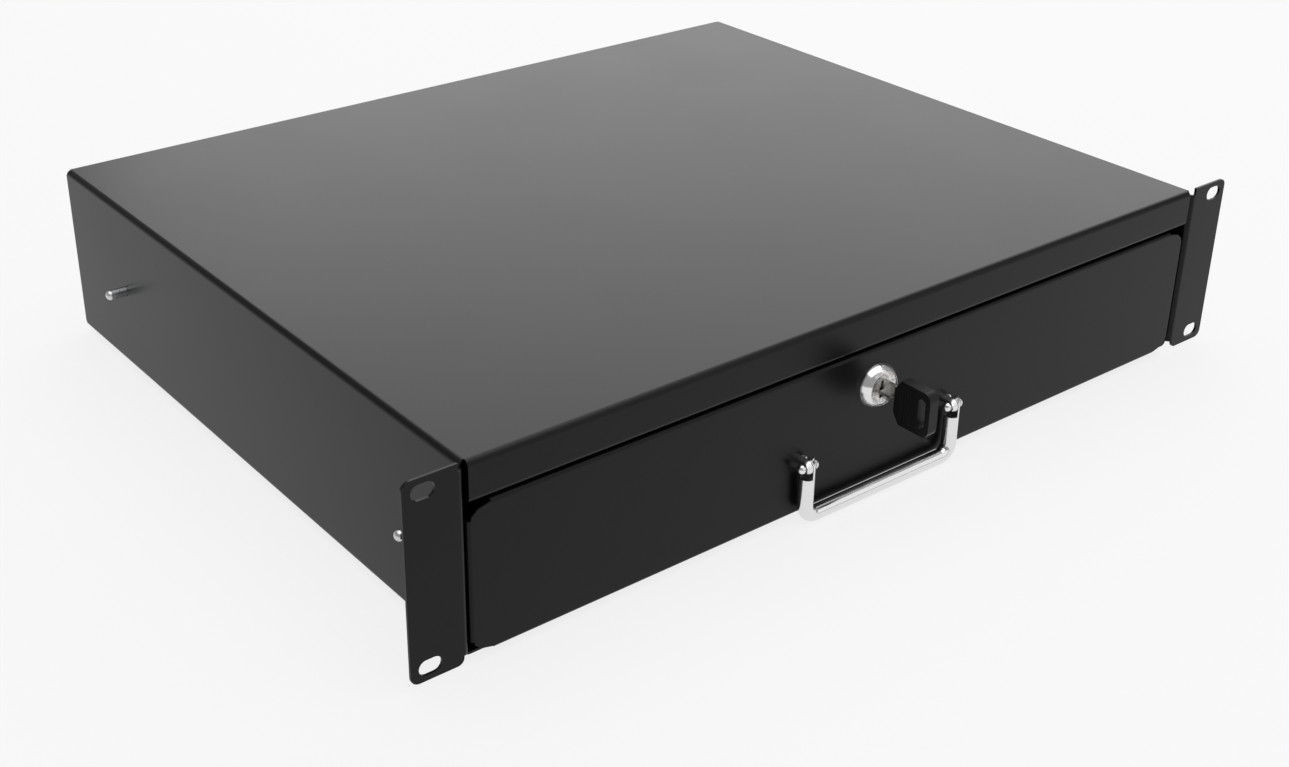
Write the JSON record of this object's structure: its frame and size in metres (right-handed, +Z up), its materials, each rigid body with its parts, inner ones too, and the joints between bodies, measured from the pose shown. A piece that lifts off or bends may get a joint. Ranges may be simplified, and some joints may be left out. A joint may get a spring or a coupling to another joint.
{
  "type": "sliding rack drawer",
  "caption": "Lockable sliding drawer in a folded steel case with rack ears, on ball-bearing slides, with a fold-down bail handle and a key lock.",
  "frame": {"origin": "centre of the four rack slots, on the back face of the ears that rests on the rack rails", "axes": "+X right seen from the front, +Y back into the rack, +Z up"},
  "size_m": [0.4826, 0.3926, 0.0919],
  "materials": {
    "case_paint": "smooth semi-gloss black powder coat",
    "drawer_paint": "smooth semi-gloss black powder coat",
    "chrome": "polished chrome plate",
    "zinc_steel": "bright zinc plate",
    "ball_steel": "polished bearing steel",
    "black_screw": "black zinc",
    "nickel": "satin nickel plate",
    "wafer_brass": "stamped brass",
    "key_plastic": "moulded black plastic",
    "bumper_rubber": "black rubber"
  },
  "bodies": {
    "case": {"case_wrap": "case_paint", "bottom_plate": "case_paint", "rear_panel": "case_paint", "rear_screws": "black_screw", "bottom_rivets": "black_screw", "slide_bolts": "zinc_steel", "outer_slide_left": "zinc_steel", "outer_slide_right": "zinc_steel", "rear_bumper_left": "bumper_rubber", "rear_bumper_right": "bumper_rubber"},
    "middle_left": {"middle_slide_left": "zinc_steel"},
    "middle_right": {"middle_slide_right": "zinc_steel"},
    "outer_cage_left": {"outer_cage_left": "zinc_steel", "outer_balls_left": "ball_steel"},
    "outer_cage_right": {"outer_cage_right": "zinc_steel", "outer_balls_right": "ball_steel"},
    "inner_cage_left": {"inner_cage_left": "zinc_steel", "inner_balls_left": "ball_steel"},
    "inner_cage_right": {"inner_cage_right": "zinc_steel", "inner_balls_right": "ball_steel"},
    "drawer": {"drawer_tray": "drawer_paint", "drawer_front": "drawer_paint", "inner_slide_left": "zinc_steel", "inner_slide_right": "zinc_steel", "slide_screws": "zinc_steel", "front_studs": "zinc_steel", "front_nuts": "zinc_steel", "lock_body": "chrome", "lock_washer": "zinc_steel", "lock_nut": "zinc_steel", "handle_post_left": "chrome", "handle_post_right": "chrome", "pivot_pin_left": "chrome", "pivot_pin_right": "chrome", "post_washers": "zinc_steel", "post_nuts": "zinc_steel"},
    "lock_plug": {"lock_plug": "nickel", "lock_wafers": "wafer_brass", "lock_cam": "zinc_steel", "cam_screw": "zinc_steel"},
    "key": {"key_blade": "nickel", "key_bow": "key_plastic"},
    "bail": {"bail_handle": "chrome"}
  },
  "joints": [
    {"name": "drawer_slide", "type": "slide", "parent": "case", "child": "drawer", "axis": [0, -1, 0], "range_m": [0, 0.3]},
    {"name": "middle_left_slide", "type": "slide", "parent": "case", "child": "middle_left", "axis": [0, -1, 0], "range_m": [0, 0.15]},
    {"name": "outer_cage_left_slide", "type": "slide", "parent": "case", "child": "outer_cage_left", "axis": [0, -1, 0], "range_m": [0, 0.075]},
    {"name": "inner_cage_left_slide", "type": "slide", "parent": "case", "child": "inner_cage_left", "axis": [0, -1, 0], "range_m": [0, 0.225]},
    {"name": "middle_right_slide", "type": "slide", "parent": "case", "child": "middle_right", "axis": [0, -1, 0], "range_m": [0, 0.15]},
    {"name": "outer_cage_right_slide", "type": "slide", "parent": "case", "child": "outer_cage_right", "axis": [0, -1, 0], "range_m": [0, 0.075]},
    {"name": "inner_cage_right_slide", "type": "slide", "parent": "case", "child": "inner_cage_right", "axis": [0, -1, 0], "range_m": [0, 0.225]},
    {"name": "lock_turn", "type": "hinge", "parent": "drawer", "child": "lock_plug", "pos_m": [-0.0014, 0.0145, 0.00545], "axis": [0, -1, 0], "range_deg": [0, 90]},
    {"name": "key_pull", "type": "slide", "parent": "lock_plug", "child": "key", "axis": [0, -1, 0], "range_m": [0, 0.018]},
    {"name": "bail_swing", "type": "hinge", "parent": "drawer", "child": "bail", "pos_m": [0, -0.0052, -0.01805], "axis": [-1, 0, 0], "range_deg": [0, 90]}
  ],
  "couplings": [
    {"joint": "middle_left_slide", "follows": "drawer_slide", "ratio": 0.5},
    {"joint": "outer_cage_left_slide", "follows": "drawer_slide", "ratio": 0.25},
    {"joint": "inner_cage_left_slide", "follows": "drawer_slide", "ratio": 0.75},
    {"joint": "middle_right_slide", "follows": "drawer_slide", "ratio": 0.5},
    {"joint": "outer_cage_right_slide", "follows": "drawer_slide", "ratio": 0.25},
    {"joint": "inner_cage_right_slide", "follows": "drawer_slide", "ratio": 0.75}
  ]
}
